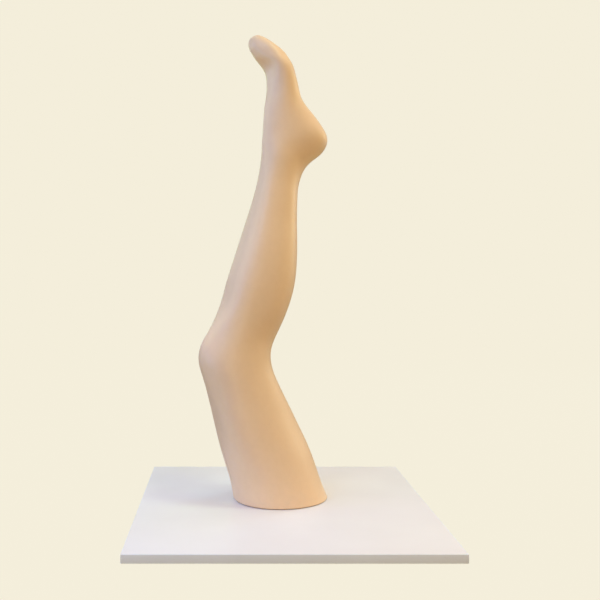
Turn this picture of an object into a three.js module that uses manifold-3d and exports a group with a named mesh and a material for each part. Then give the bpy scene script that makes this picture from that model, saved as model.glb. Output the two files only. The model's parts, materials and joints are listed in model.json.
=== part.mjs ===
// Hosiery display leg on a square base board.
//
// A hollow, life-size leg form stands upside down, toe up, on a white laminated
// board. The leg is moulded in two halves that are bonded along the front and
// rear centre lines. A plywood plug closes the thigh end and carries a steel
// socket, which drops over a spigot fixed to the board, so that the leg can be
// turned on its stand and lifted off it.
//
// Millimetres, +Z up. Origin: centre of the board, at the underside of the feet.
// -Y is the front of the board, +X its right.

import * as THREE from 'three';
import { mergeVertices } from 'three/addons/utils/BufferGeometryUtils.js';
import Module from 'manifold-3d';

const wasm = await Module();
wasm.setup();

// ---------------------------------------------------------------- dimensions

// Base board
const BOARD_SIDE = 450;        // square, over the edge bands
const BOARD_THICKNESS = 12;    // core plus both laminates
const LAMINATE = 0.8;          // top and bottom laminate sheets
const EDGE_BAND = 1;           // edge band thickness
const FOOT_HEIGHT = 2.5;
const FOOT_RADIUS = 15;
const FOOT_OFFSET = 195;       // feet sit at +/- this in X and Y

// Leg placement on the board
const LEG_X = -2;
const LEG_Y = 32;
const LEG_YAW = THREE.MathUtils.degToRad(18);
const RIM_GAP = 0.5;           // thigh rim stands this far above the board

// Leg shell
const WALL = 3;                // moulded wall
const PARTING_GAP = 0.3;       // bond line between the halves
const HALF_SEGMENTS = 12;      // facets round one half
const STRIP_THICKNESS = 1;     // bonding strips inside the parting lines
const STRIP_GAP = 0.42;

// Thigh plug and guide disc, heights above the rim
const PLUG_BOTTOM = 0.3;
const PLUG_TOP = 18.3;
const DISC_BOTTOM = 88;
const DISC_TOP = 100;
const EDGE_GAP = 0.5;          // wood to shell
const STRIP_NOTCH = 2.2;       // relief of the disc at the bonding strips

// Spigot on the board
const SPIGOT_RADIUS = 8;
const SPIGOT_HEIGHT = 96;      // above the board top
const PLATE_RADIUS = 55;
const PLATE_THICKNESS = 4;
const PLATE_RECESS_RADIUS = 56;
const PLATE_SCREW_CIRCLE = 40; // radius
const CLEARANCE = 0.3;         // between assembled pieces

// Socket in the leg, heights above the rim
const SOCKET_BORE_RADIUS = 8.2;
const SOCKET_OUTER_RADIUS = 10;
const SOCKET_BOTTOM = 1.8;
const SOCKET_TOP = 106.5;
const FLANGE_RADIUS = 35;
const FLANGE_THICKNESS = 3;
const FLANGE_SCREW_CIRCLE = 26; // radius

// Glide washer
const WASHER_OUTER_RADIUS = 20;
const WASHER_BORE_RADIUS = 8.5;
const WASHER_THICKNESS = 2;

// Countersunk screws
const SCREW_HEAD_RADIUS = 4;
const SCREW_SHANK_RADIUS = 2;
const SCREW_HEAD_HEIGHT = 2.2;

const BOARD_BOTTOM = FOOT_HEIGHT;
const BOARD_TOP = FOOT_HEIGHT + BOARD_THICKNESS;
const RIM_Z = BOARD_TOP + RIM_GAP;

// Leg sections, thigh rim to toe. Each row is one key section:
//   front point (u, z), rear point (u, z), outer half width, inner half width,
//   fullness towards the front, squareness of the front and of the rear,
//   sideways shift.
// u runs towards the back of the leg, z above the rim.
const SECTIONS = [
  [-76.3, 0.0, 75.8, 0.0, 70.5, 71.5, 0.00, 0.010, 0.010, 0.0],
  [-83.0, 33.4, 65.2, 25.6, 70.1, 71.1, 0.05, 0.011, 0.006, 0.0],
  [-96.1, 78.8, 48.1, 74.7, 65.8, 67.2, 0.12, 0.039, -0.016, 0.0],
  [-105.5, 123.8, 25.9, 121.9, 60.0, 62.2, 0.20, 0.073, -0.041, 0.0],
  [-117.9, 165.2, 6.9, 158.9, 55.5, 58.2, 0.18, 0.032, -0.010, 0.0],
  [-128.5, 197.0, -8.5, 188.8, 52.6, 54.8, 0.14, -0.008, 0.026, 0.0],
  [-136.3, 222.4, -17.9, 211.8, 50.0, 51.7, 0.09, -0.005, 0.035, 0.0],
  [-134.9, 245.8, -20.0, 231.4, 48.0, 49.7, 0.09, -0.014, 0.032, 0.0],
  [-122.6, 267.1, -15.6, 249.1, 46.0, 47.7, 0.12, -0.044, 0.013, 0.0],
  [-107.5, 289.9, -6.1, 269.8, 45.7, 47.7, 0.14, 0.018, 0.024, 0.0],
  [-93.1, 317.3, 5.2, 295.9, 48.5, 50.9, 0.14, 0.098, 0.040, 0.0],
  [-83.5, 350.6, 16.7, 328.3, 50.8, 53.0, 0.14, 0.099, 0.023, 0.0],
  [-72.7, 384.1, 23.8, 363.9, 50.3, 52.6, 0.14, 0.101, 0.001, 0.0],
  [-61.6, 419.2, 26.0, 401.3, 46.5, 48.7, 0.15, 0.089, 0.014, 0.0],
  [-51.6, 451.7, 26.3, 437.1, 40.4, 42.1, 0.17, 0.079, 0.025, 0.0],
  [-42.0, 482.5, 27.1, 471.3, 35.1, 36.1, 0.18, 0.085, 0.013, 0.0],
  [-35.0, 510.0, 30.0, 500.7, 31.2, 31.6, 0.19, 0.091, 0.006, 0.0],
  [-32.3, 533.1, 38.8, 525.5, 30.8, 30.8, 0.17, 0.037, 0.026, 0.0],
  [-30.9, 552.6, 53.5, 543.1, 31.7, 31.3, 0.27, -0.033, 0.021, 0.0],
  [-30.4, 570.5, 74.4, 559.2, 32.4, 31.5, 0.21, -0.027, 0.037, 0.0],
  [-29.5, 586.7, 82.0, 578.9, 32.1, 31.1, 0.12, -0.008, 0.042, 0.0],
  [-28.6, 601.2, 72.7, 597.8, 30.4, 29.6, 0.16, -0.018, 0.026, 0.0],
  [-27.4, 615.8, 59.9, 615.0, 29.6, 29.1, 0.16, -0.038, 0.014, 0.0],
  [-26.1, 630.5, 44.5, 632.1, 29.6, 29.2, 0.13, -0.054, -0.000, 0.0],
  [-23.2, 646.7, 33.7, 647.7, 30.3, 30.1, 0.09, -0.058, -0.006, 0.0],
  [-21.8, 661.4, 28.6, 665.1, 31.0, 30.8, 0.07, -0.034, -0.001, 0.0],
  [-20.6, 676.2, 23.7, 680.9, 32.1, 32.6, 0.07, 0.013, 0.001, 0.0],
  [-21.7, 689.6, 17.8, 696.5, 32.9, 34.0, 0.03, 0.075, 0.047, -0.5],
  [-28.7, 699.5, 9.8, 710.0, 31.7, 34.0, -0.02, 0.079, 0.056, -1.5],
  [-38.1, 707.2, 2.2, 719.8, 29.9, 33.5, -0.06, 0.023, 0.040, -3.0],
  [-44.0, 715.8, -11.8, 730.2, 25.9, 30.6, -0.05, 0.036, 0.046, -5.0],
  [-48.0, 723.6, -20.4, 737.1, 21.1, 25.7, -0.04, 0.043, 0.043, -7.5],
  [-49.1, 731.2, -35.3, 745.0, 14.8, 18.3, -0.01, 0.026, 0.019, -10.0],
  [-48.5, 735.8, -45.6, 742.3, 5.8, 7.3, -0.01, -0.004, -0.001, -12.0],
];

// Local swellings and hollows over the sections:
//   section position, spread in sections, angle round the leg in degrees
//   (0 front, 90 outer side, 180 rear), narrowness, height.
const FORMS = [
  [11.9, 2.3, 228, 3.0, 2.6],
  [11.2, 2.0, 135, 3.0, 1.8],
  [17.1, 1.1, 132, 7.0, -2.6],
  [17.1, 1.1, 228, 7.0, -2.6],
  [18.35, 1.0, 97, 7.0, 0.9],
  [18.75, 1.0, 258, 7.0, 1.1],
  [24.2, 1.9, 243, 4.0, -3.2],
  [6.9, 0.9, 38, 9.0, -1.4],
  [6.9, 0.9, 322, 9.0, -1.4],
  [8.6, 0.9, 0, 10.0, -0.8],
  [17.4, 1.2, 138, 5.0, -0.31],
  [20.7, 1.2, 128, 4.0, 2.98],
  [18.6, 0.8, 95, 7.0, -1.88],
  [22.0, 1.5, 110, 4.0, 1.54],
  [7.0, 1.0, 40, 6.0, -2.85],
  [8.8, 1.2, 60, 5.0, 1.89],
  [12, 2.5, 120, 3.0, -2.59],
  [30, 1.5, 60, 8.0, -3.19],
  [28, 1.5, 120, 8.0, -4.54],
  [19.5, 1.0, 150, 6.0, -2.48],
  [16, 1.2, 110, 5.0, 0.44],
  [20.7, 1.2, 232, 4.0, 2.38],
  [18.6, 0.8, 265, 7.0, -1.5],
  [22.0, 1.5, 250, 4.0, 1.23],
  [7.0, 1.0, 320, 6.0, -2.28],
  [8.8, 1.2, 300, 5.0, 1.51],
  [12, 2.5, 240, 3.0, -2.07],
  [30, 1.5, 300, 8.0, -2.55],
  [28, 1.5, 240, 8.0, -3.63],
  [19.5, 1.0, 210, 6.0, -1.98],
  [16, 1.2, 250, 5.0, 0.36],
];

// Sections at which the shell is faceted
const RINGS = [
  0, 0.5, 1, 1.7, 2.4, 3.2, 4, 4.7, 5.3, 5.9, 6.4, 6.9, 7.4, 8, 8.7, 9.5, 10.5, 11.5, 12.5,
  13.5, 14.5, 15.5, 16.5, 17.4, 18.2, 18.9, 19.5, 20, 20.5, 21.2, 22, 23, 24, 25, 26, 27, 27.8,
  28.6, 29.4, 30.2, 31, 31.6, 32.1, 32.6, 33,
];

// ---------------------------------------------------------------- materials

const material = (color, roughness, metalness = 0) =>
  new THREE.MeshStandardMaterial({ color, roughness, metalness });

const skinPaint = () => material(0xd8b08a, 0.42);
const whiteLaminate = () => material(0xece6e1, 0.5);
const boardCore = () => material(0xb08c62, 0.85);
const plywood = () => material(0xcfae7c, 0.75);
const steel = () => material(0xa9abad, 0.35, 1);
const zincPlate = () => material(0xc4c6c8, 0.3, 1);
const nylon = () => material(0xe9e6dc, 0.45);
const rubber = () => material(0x2a2a2b, 0.9);
const bondingTape = () => material(0xc9b98f, 0.8);

// ---------------------------------------------------------------- solids

// One closed, indexed geometry with shared corners and no collapsed facets.
function closed(geometry) {
  const bare = geometry.clone();
  bare.deleteAttribute('normal');
  bare.deleteAttribute('uv');
  const merged = mergeVertices(bare, 1e-4);
  const index = merged.index.array;
  const kept = [];
  for (let i = 0; i < index.length; i += 3) {
    const [a, b, c] = [index[i], index[i + 1], index[i + 2]];
    if (a !== b && b !== c && c !== a) kept.push(a, b, c);
  }
  merged.setIndex(kept);
  return merged;
}

function toSolid(geometry) {
  const g = closed(geometry);
  return new wasm.Manifold(new wasm.Mesh({
    numProp: 3,
    vertProperties: new Float32Array(g.attributes.position.array),
    triVerts: new Uint32Array(g.index.array),
  }));
}

function fromSolid(solid) {
  const mesh = solid.getMesh();
  const g = new THREE.BufferGeometry();
  g.setAttribute('position', new THREE.BufferAttribute(new Float32Array(mesh.vertProperties), 3));
  g.setIndex(Array.from(mesh.triVerts));
  g.computeVertexNormals();
  return g;
}

function cut(geometry, ...tools) {
  let solid = toSolid(geometry);
  for (const tool of tools) solid = solid.subtract(toSolid(tool));
  return fromSolid(solid);
}

// Solid of revolution about Z from [radius, z] pairs.
function turned(profile, segments = 32) {
  const points = profile.map(([r, z]) => new THREE.Vector2(r, z));
  const g = new THREE.LatheGeometry(points, segments);
  g.rotateX(Math.PI / 2);
  return g;
}

function cylinder(radius, z0, z1, segments = 32) {
  return turned([[0, z0], [radius, z0], [radius, z1], [0, z1]], segments);
}

function at(geometry, x, y, z = 0) {
  geometry.translate(x, y, z);
  return geometry;
}

function mesh(name, geometry, mat) {
  const m = new THREE.Mesh(geometry, mat);
  m.name = name;
  return m;
}

// Closed body from position triples and facets; turned the right way out.
function body(points, faces) {
  let volume = 0;
  for (const [a, b, c] of faces) {
    const [p, q, r] = [points[a], points[b], points[c]];
    volume += p[0] * (q[1] * r[2] - q[2] * r[1])
      - p[1] * (q[0] * r[2] - q[2] * r[0])
      + p[2] * (q[0] * r[1] - q[1] * r[0]);
  }
  const index = [];
  for (const [a, b, c] of faces) index.push(...(volume > 0 ? [a, b, c] : [a, c, b]));
  const g = new THREE.BufferGeometry();
  g.setAttribute('position', new THREE.Float32BufferAttribute(points.flat(), 3));
  g.setIndex(index);
  g.computeVertexNormals();
  return g;
}

// ---------------------------------------------------------------- leg surface

// Natural cubic spline through one column of SECTIONS.
function naturalSpline(values) {
  const n = values.length;
  const m = new Array(n).fill(0);
  const c = new Array(n).fill(0);
  const d = new Array(n).fill(0);
  for (let i = 1; i < n - 1; i++) {
    const rhs = 6 * (values[i - 1] - 2 * values[i] + values[i + 1]);
    const w = 4 - c[i - 1];
    c[i] = 1 / w;
    d[i] = (rhs - d[i - 1]) / w;
  }
  for (let i = n - 2; i > 0; i--) m[i] = d[i] - c[i] * m[i + 1];
  return (t) => {
    const i = Math.min(Math.max(Math.floor(t), 0), n - 2);
    const b = t - i;
    const a = 1 - b;
    return a * values[i] + b * values[i + 1]
      + ((a * a * a - a) * m[i] + (b * b * b - b) * m[i + 1]) / 6;
  };
}

const COLUMNS = SECTIONS[0].map((_, c) => naturalSpline(SECTIONS.map((row) => row[c])));

// Point of the outer surface: t along the leg, angle round it. Returns [u, v, z],
// v towards the outer side.
function surface(t, angle) {
  const [uF, zF, uB, zB, wOut, wIn, full, sqF, sqB, shift] = COLUMNS.map((f) => f(t));
  const depth = Math.hypot(uF - uB, zF - zB) / 2;
  const [fu, fz] = [(uF - uB) / (2 * depth), (zF - zB) / (2 * depth)];
  const c = Math.cos(angle);
  const s = Math.sin(angle);
  const corner = 1 + Math.sin(2 * angle) ** 2 * (sqF * (1 + c) / 2 + sqB * (1 - c) / 2);
  let x = (depth * c + full * depth * s * s) * corner;
  let v = ((wOut + wIn) / 2 * s + (wOut - wIn) / 2 * s * s) * corner;
  for (const [t0, spread, degrees, narrow, height] of FORMS) {
    const a0 = THREE.MathUtils.degToRad(degrees);
    const g = height * Math.exp(-(((t - t0) / spread) ** 2))
      * Math.exp(narrow * (Math.cos(angle - a0) - 1));
    const r = Math.hypot(x, v) + 1e-9;
    x *= 1 + g / r;
    v *= 1 + g / r;
  }
  return [(uF + uB) / 2 + x * fu, shift + v, (zF + zB) / 2 + x * fz];
}

const minus = (p, q) => [p[0] - q[0], p[1] - q[1], p[2] - q[2]];
const cross = (p, q) => [
  p[1] * q[2] - p[2] * q[1], p[2] * q[0] - p[0] * q[2], p[0] * q[1] - p[1] * q[0]];
const dot = (p, q) => p[0] * q[0] + p[1] * q[1] + p[2] * q[2];

const LAST = SECTIONS.length - 1;

function middle(t) {
  const [uF, zF, uB, zB, , , , , , shift] = COLUMNS.map((f) => f(t));
  return [(uF + uB) / 2, shift, (zF + zB) / 2];
}

function outward(t, angle) {
  const e = 1e-3;
  const t0 = Math.max(t - e, 0);
  const t1 = Math.min(t + e, LAST);
  const along = minus(surface(t1, angle), surface(t0, angle));
  const round = minus(surface(t, angle + e), surface(t, angle - e));
  let n = cross(along, round);
  const length = Math.hypot(...n);
  const side = dot(n, minus(surface(t, angle), middle(t))) < 0 ? -1 : 1;
  n = n.map((k) => (side * k) / length);
  return n;
}

// Point at a depth below the outer surface.
function below(t, angle, depth) {
  const p = surface(t, angle);
  const n = outward(t, angle);
  return [p[0] - depth * n[0], p[1] - depth * n[1], p[2] - depth * n[2]];
}

// The same at facet column j (0 front, HALF_SEGMENTS rear, then back round the
// inner side). The first ring is carried along the surface to the level of the rim.
function skin(ring, j, depth) {
  const t = RINGS[ring];
  const angle = (Math.PI * j) / HALF_SEGMENTS;
  let q = below(t, angle, depth);
  if (ring === 0) {
    const next = below(0.2, angle, depth);
    const f = -q[2] / (next[2] - q[2]);
    q = [q[0] + f * (next[0] - q[0]), q[1] + f * (next[1] - q[1]), 0];
  }
  if (j % HALF_SEGMENTS === 0) q[1] = surface(t, angle)[1];
  return q;
}

// Tip of the toe, at a depth below the outer surface.
function tip(depth) {
  const a = middle(LAST);
  const [uF, zF, uB, zB] = COLUMNS.map((f) => f(LAST));
  const length = Math.hypot(uF - uB, zF - zB);
  let n = [-(zF - zB) / length, 0, (uF - uB) / length];
  if (dot(n, minus(a, middle(LAST - 1))) < 0) n = n.map((k) => -k);
  return [a[0] - depth * n[0], a[1], a[2] - depth * n[2]];
}

// The leg group's axes are x = u, y = -v, z.
const place = ([u, v, z], dv = 0) => [u, -(v + dv), z];

// One moulded half: side +1 is the outer half, -1 the inner half.
function shellHalf(side) {
  const points = [];
  const faces = [];
  const dv = (side * PARTING_GAP) / 2;
  const rows = RINGS.length;
  const cols = HALF_SEGMENTS + 1;
  const layers = [0, WALL].map((depth) => {
    const start = points.length;
    for (let i = 0; i < rows; i++) {
      for (let j = 0; j < cols; j++) points.push(place(skin(i, side * j, depth), dv));
    }
    points.push(place(tip(depth), dv));
    return { at: (i, j) => (i < rows ? start + i * cols + j : start + rows * cols) };
  });
  const [outer, inner] = layers;
  const quad = (a, b, c, d) => {
    faces.push([a, b, c]);
    if (c !== d) faces.push([a, c, d]);
  };
  for (let i = 0; i < rows; i++) {
    for (let j = 0; j < HALF_SEGMENTS; j++) {
      quad(outer.at(i, j), outer.at(i, j + 1), outer.at(i + 1, j + 1), outer.at(i + 1, j));
      quad(inner.at(i, j + 1), inner.at(i, j), inner.at(i + 1, j), inner.at(i + 1, j + 1));
    }
    quad(inner.at(i, 0), outer.at(i, 0), outer.at(i + 1, 0), inner.at(i + 1, 0));
    quad(outer.at(i, cols - 1), inner.at(i, cols - 1), inner.at(i + 1, cols - 1),
      outer.at(i + 1, cols - 1));
  }
  for (let j = 0; j < HALF_SEGMENTS; j++) {
    quad(inner.at(0, j), inner.at(0, j + 1), outer.at(0, j + 1), outer.at(0, j));
  }
  return body(points, faces.filter(([a, b, c]) => a !== b && b !== c && c !== a));
}

// Tape bonded over a parting line on the inside, from ring `from` to ring `to`.
function bondingStrip(centre, from, to) {
  const points = [];
  const faces = [];
  const near = WALL + STRIP_GAP;
  const far = near + STRIP_THICKNESS;
  const section = [[-1, near], [0, near], [1, near], [1, far], [0, far], [-1, far]];
  for (let i = from; i <= to; i++) {
    for (const [step, depth] of section) points.push(place(skin(i, centre + step, depth)));
  }
  const k = section.length;
  for (let i = 0; i < to - from; i++) {
    for (let s = 0; s < k; s++) {
      const a = i * k + s;
      const b = i * k + ((s + 1) % k);
      faces.push([a, b, b + k], [a, b + k, a + k]);
    }
  }
  const end = (to - from) * k;
  for (const [a, b, c, d] of [[0, 1, 4, 5], [1, 2, 3, 4]]) {
    faces.push([a, c, b], [a, d, c]);
    faces.push([end + a, end + b, end + c], [end + a, end + c, end + d]);
  }
  return body(points, faces);
}

// Level outline of the shell's inner wall at height z, drawn in by `inset`.
function innerOutline(z, inset) {
  const count = 2 * HALF_SEGMENTS;
  const raw = [];
  for (let j = 0; j < count; j++) {
    for (let i = 0; i < RINGS.length - 1; i++) {
      const a = skin(i, j, WALL);
      const b = skin(i + 1, j, WALL);
      if (a[2] <= z && b[2] > z) {
        const f = (z - a[2]) / (b[2] - a[2]);
        raw.push(new THREE.Vector2(a[0] + f * (b[0] - a[0]), -(a[1] + f * (b[1] - a[1]))));
        break;
      }
    }
  }
  const centre = raw.reduce((s, p) => s.add(p), new THREE.Vector2()).divideScalar(count);
  return raw.map((p, j) => {
    const along = raw[(j + 1) % count].clone().sub(raw[(j + count - 1) % count]).normalize();
    const n = new THREE.Vector2(along.y, -along.x);
    if (n.dot(p.clone().sub(centre)) < 0) n.negate();
    return p.clone().addScaledVector(n, -inset);
  });
}

// Board cut to the inside of the shell, with a bevelled edge that follows its slope.
function fittedBoard(z0, z1, notched) {
  const outline = (z) => {
    const edge = innerOutline(z, EDGE_GAP);
    if (!notched) return edge;
    const deep = innerOutline(z, STRIP_NOTCH);
    const n = edge.length;
    const result = [];
    for (let j = 0; j < n; j++) {
      const k = j % HALF_SEGMENTS;
      if (k > 1 && k < HALF_SEGMENTS - 1) result.push(edge[j]);
      else result.push(deep[j]);
      if (k === 1) {
        result.push(deep[j].clone().lerp(deep[j + 1], 0.25));
        result.push(edge[j].clone().lerp(edge[j + 1], 0.3));
      }
      if (k === HALF_SEGMENTS - 2) {
        result.push(edge[j].clone().lerp(edge[(j + 1) % n], 0.7));
        result.push(deep[j].clone().lerp(deep[(j + 1) % n], 0.75));
      }
    }
    return result;
  };
  const low = outline(z0);
  const high = outline(z1);
  const n = low.length;
  const points = [...low.map((p) => [p.x, p.y, z0]), ...high.map((p) => [p.x, p.y, z1])];
  const faces = [];
  for (let j = 0; j < n; j++) {
    const k = (j + 1) % n;
    faces.push([j, k, k + n], [j, k + n, j + n]);
  }
  for (const [ring, start, flip] of [[low, 0, true], [high, n, false]]) {
    const clockwise = THREE.ShapeUtils.isClockWise(ring);
    for (const [a, b, c] of THREE.ShapeUtils.triangulateShape(ring, [])) {
      const turn = flip !== (clockwise === THREE.ShapeUtils.isClockWise([ring[a], ring[b], ring[c]]));
      faces.push(turn ? [start + a, start + b, start + c] : [start + a, start + c, start + b]);
    }
  }
  return { points, faces };
}

// The caps' winding has to agree with the walls' whichever way the outline runs.
function fittedBoardGeometry(z0, z1, notched) {
  const { points, faces } = fittedBoard(z0, z1, notched);
  const edges = new Set();
  const clash = (list) => {
    edges.clear();
    for (const [a, b, c] of list) {
      for (const e of [`${a},${b}`, `${b},${c}`, `${c},${a}`]) {
        if (edges.has(e)) return true;
        edges.add(e);
      }
    }
    return false;
  };
  const walls = (points.length / 2) * 2;
  const flipped = faces.map((f, i) => (i < walls ? f : [f[0], f[2], f[1]]));
  return body(points, clash(faces) ? flipped : faces);
}

// ---------------------------------------------------------------- screws

function screw(length) {
  const shank = turned([
    [0, 0], [SCREW_HEAD_RADIUS, 0], [SCREW_SHANK_RADIUS, SCREW_HEAD_HEIGHT],
    [SCREW_SHANK_RADIUS, length - 3], [0, length],
  ], 16);
  const slot = (angle) => {
    const g = new THREE.BoxGeometry(4.2, 0.9, 2);
    g.rotateZ(angle);
    return g;
  };
  return cut(shank, slot(Math.PI / 4), slot(-Math.PI / 4));
}

// Hole that a screw of this length sits in, mouth down at z = -recess.
function screwHole(length, recess) {
  return turned([
    [0, -recess - 1], [SCREW_HEAD_RADIUS + 0.35, -recess - 1], [SCREW_HEAD_RADIUS + 0.35, 0],
    [SCREW_SHANK_RADIUS + CLEARANCE, SCREW_HEAD_HEIGHT + 0.05],
    [SCREW_SHANK_RADIUS + CLEARANCE, length + 0.4], [0, length + 0.4],
  ], 16);
}

const quarter = (radius, i) => {
  const a = Math.PI / 4 + (i * Math.PI) / 2;
  return [radius * Math.cos(a), radius * Math.sin(a)];
};

// ---------------------------------------------------------------- base

const base = new THREE.Group();

const PANEL = BOARD_SIDE - 2 * EDGE_BAND;

function panel(z0, z1, holeRadius) {
  const h = PANEL / 2;
  const shape = new THREE.Shape();
  shape.moveTo(-h, -h);
  shape.lineTo(h, -h);
  shape.lineTo(h, h);
  shape.lineTo(-h, h);
  shape.closePath();
  const hole = new THREE.Path();
  hole.absarc(LEG_X, LEG_Y, holeRadius, 0, 2 * Math.PI, true);
  shape.holes.push(hole);
  const g = new THREE.ExtrudeGeometry(shape, { depth: z1 - z0, bevelEnabled: false, curveSegments: 20 });
  return at(g, 0, 0, z0);
}

const PLATE_BOTTOM = BOARD_BOTTOM + 0.2;
const PLATE_TOP = PLATE_BOTTOM + PLATE_THICKNESS;
const PLATE_SCREW_LENGTH = 9.4;
const PLATE_SCREW_Z = PLATE_BOTTOM + 0.2;
const plateScrewAt = (i) => {
  const [x, y] = quarter(PLATE_SCREW_CIRCLE, i);
  return [LEG_X + x, LEG_Y + y, PLATE_SCREW_Z];
};
const plateHoles = () => [0, 1, 2, 3].map((i) => at(screwHole(PLATE_SCREW_LENGTH, 1.2), ...plateScrewAt(i)));

base.add(mesh('base_core_board', cut(
  panel(BOARD_BOTTOM + LAMINATE, BOARD_TOP - LAMINATE, SPIGOT_RADIUS + CLEARANCE),
  at(cylinder(PLATE_RECESS_RADIUS, BOARD_BOTTOM - 1, PLATE_TOP + CLEARANCE, 40), LEG_X, LEG_Y),
  ...plateHoles(),
), boardCore()));

base.add(mesh('base_top_laminate',
  panel(BOARD_TOP - LAMINATE, BOARD_TOP, SPIGOT_RADIUS + CLEARANCE), whiteLaminate()));
base.add(mesh('base_bottom_laminate',
  panel(BOARD_BOTTOM, BOARD_BOTTOM + LAMINATE, PLATE_RECESS_RADIUS), whiteLaminate()));

for (const [name, x, y, w, d] of [
  ['edge_band_front', 0, -(BOARD_SIDE - EDGE_BAND) / 2, BOARD_SIDE, EDGE_BAND],
  ['edge_band_rear', 0, (BOARD_SIDE - EDGE_BAND) / 2, BOARD_SIDE, EDGE_BAND],
  ['edge_band_left', -(BOARD_SIDE - EDGE_BAND) / 2, 0, EDGE_BAND, PANEL],
  ['edge_band_right', (BOARD_SIDE - EDGE_BAND) / 2, 0, EDGE_BAND, PANEL],
]) {
  const band = mesh(name, new THREE.BoxGeometry(w, d, BOARD_THICKNESS), whiteLaminate());
  band.position.set(x, y, (BOARD_BOTTOM + BOARD_TOP) / 2);
  base.add(band);
}

base.add(mesh('spigot_plate', cut(
  at(cylinder(PLATE_RADIUS, PLATE_BOTTOM, PLATE_TOP, 40), LEG_X, LEG_Y),
  at(cylinder(SPIGOT_RADIUS + CLEARANCE, PLATE_BOTTOM - 1, PLATE_TOP + 1), LEG_X, LEG_Y),
  ...plateHoles(),
), zincPlate()));

base.add(mesh('spigot_rod', at(turned([
  [0, PLATE_BOTTOM], [SPIGOT_RADIUS, PLATE_BOTTOM],
  [SPIGOT_RADIUS, BOARD_TOP + SPIGOT_HEIGHT - 4],
  [SPIGOT_RADIUS - 1, BOARD_TOP + SPIGOT_HEIGHT - 1.2],
  [SPIGOT_RADIUS - 2.6, BOARD_TOP + SPIGOT_HEIGHT], [0, BOARD_TOP + SPIGOT_HEIGHT],
]), LEG_X, LEG_Y), steel()));

for (let i = 0; i < 4; i++) {
  const s = mesh(`spigot_plate_screw_${i + 1}`, screw(PLATE_SCREW_LENGTH), zincPlate());
  s.position.set(...plateScrewAt(i));
  base.add(s);
}

for (const [name, sx, sy] of [
  ['foot_pad_front_left', -1, -1], ['foot_pad_front_right', 1, -1],
  ['foot_pad_rear_left', -1, 1], ['foot_pad_rear_right', 1, 1],
]) {
  const pad = mesh(name, turned([
    [0, 0], [FOOT_RADIUS - 1.2, 0], [FOOT_RADIUS - 0.3, 0.6], [FOOT_RADIUS, FOOT_HEIGHT],
    [0, FOOT_HEIGHT],
  ], 24), rubber());
  pad.position.set(sx * FOOT_OFFSET, sy * FOOT_OFFSET, 0);
  base.add(pad);
}

// ---------------------------------------------------------------- glide washer

const swivel = new THREE.Group();
swivel.position.set(LEG_X, LEG_Y, BOARD_TOP);
swivel.add(mesh('glide_washer', turned([
  [WASHER_BORE_RADIUS, 0], [WASHER_OUTER_RADIUS, 0],
  [WASHER_OUTER_RADIUS, WASHER_THICKNESS - 0.4],
  [WASHER_OUTER_RADIUS - 0.4, WASHER_THICKNESS], [WASHER_BORE_RADIUS, WASHER_THICKNESS],
  [WASHER_BORE_RADIUS, 0],
]), nylon()));

// ---------------------------------------------------------------- leg

const leg = new THREE.Group();
leg.position.set(LEG_X, LEG_Y, RIM_Z);
leg.rotation.z = LEG_YAW;

leg.add(mesh('leg_shell_outer', shellHalf(1), skinPaint()));
leg.add(mesh('leg_shell_inner', shellHalf(-1), skinPaint()));

const ringAt = (t) => RINGS.indexOf(t);
leg.add(mesh('front_seam_strip', bondingStrip(0, ringAt(1), ringAt(27)), bondingTape()));
leg.add(mesh('rear_seam_strip', bondingStrip(HALF_SEGMENTS, ringAt(1), ringAt(26)), bondingTape()));

const FLANGE_TOP = SOCKET_BOTTOM + FLANGE_THICKNESS;
const FLANGE_SCREW_LENGTH = 13;
const FLANGE_SCREW_Z = SOCKET_BOTTOM + 0.2;
const flangeScrewAt = (i) => [...quarter(FLANGE_SCREW_CIRCLE, i), FLANGE_SCREW_Z];
const flangeHoles = () => [0, 1, 2, 3].map((i) => at(screwHole(FLANGE_SCREW_LENGTH, 1.2), ...flangeScrewAt(i)));
const tubeHole = (z0, z1) => cylinder(SOCKET_OUTER_RADIUS + CLEARANCE, z0, z1);

leg.add(mesh('thigh_end_plug', cut(
  fittedBoardGeometry(PLUG_BOTTOM, PLUG_TOP, false),
  cylinder(FLANGE_RADIUS + 0.5, PLUG_BOTTOM - 1, FLANGE_TOP + CLEARANCE, 40),
  tubeHole(PLUG_BOTTOM - 1, PLUG_TOP + 1),
  ...flangeHoles(),
), plywood()));

leg.add(mesh('upper_guide_disc', cut(
  fittedBoardGeometry(DISC_BOTTOM, DISC_TOP, true),
  tubeHole(DISC_BOTTOM - 1, DISC_TOP + 1),
), plywood()));

leg.add(mesh('socket_flange', cut(
  cylinder(FLANGE_RADIUS, SOCKET_BOTTOM, FLANGE_TOP, 40),
  tubeHole(SOCKET_BOTTOM - 1, FLANGE_TOP + 1),
  ...flangeHoles(),
), zincPlate()));

leg.add(mesh('socket_tube', turned([
  [SOCKET_BORE_RADIUS + 0.6, SOCKET_BOTTOM], [SOCKET_OUTER_RADIUS, SOCKET_BOTTOM],
  [SOCKET_OUTER_RADIUS, SOCKET_TOP], [SOCKET_BORE_RADIUS, SOCKET_TOP],
  [SOCKET_BORE_RADIUS, SOCKET_BOTTOM + 1], [SOCKET_BORE_RADIUS + 0.6, SOCKET_BOTTOM],
]), steel()));

leg.add(mesh('socket_tube_cap', turned([
  [0, SOCKET_TOP - 7.7], [7.3, SOCKET_TOP - 7.7], [7.9, SOCKET_TOP - 7],
  [7.9, SOCKET_TOP + CLEARANCE], [11, SOCKET_TOP + CLEARANCE], [11, SOCKET_TOP + 1.8],
  [10.4, SOCKET_TOP + 2.3], [0, SOCKET_TOP + 2.3],
], 24), nylon()));

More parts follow.
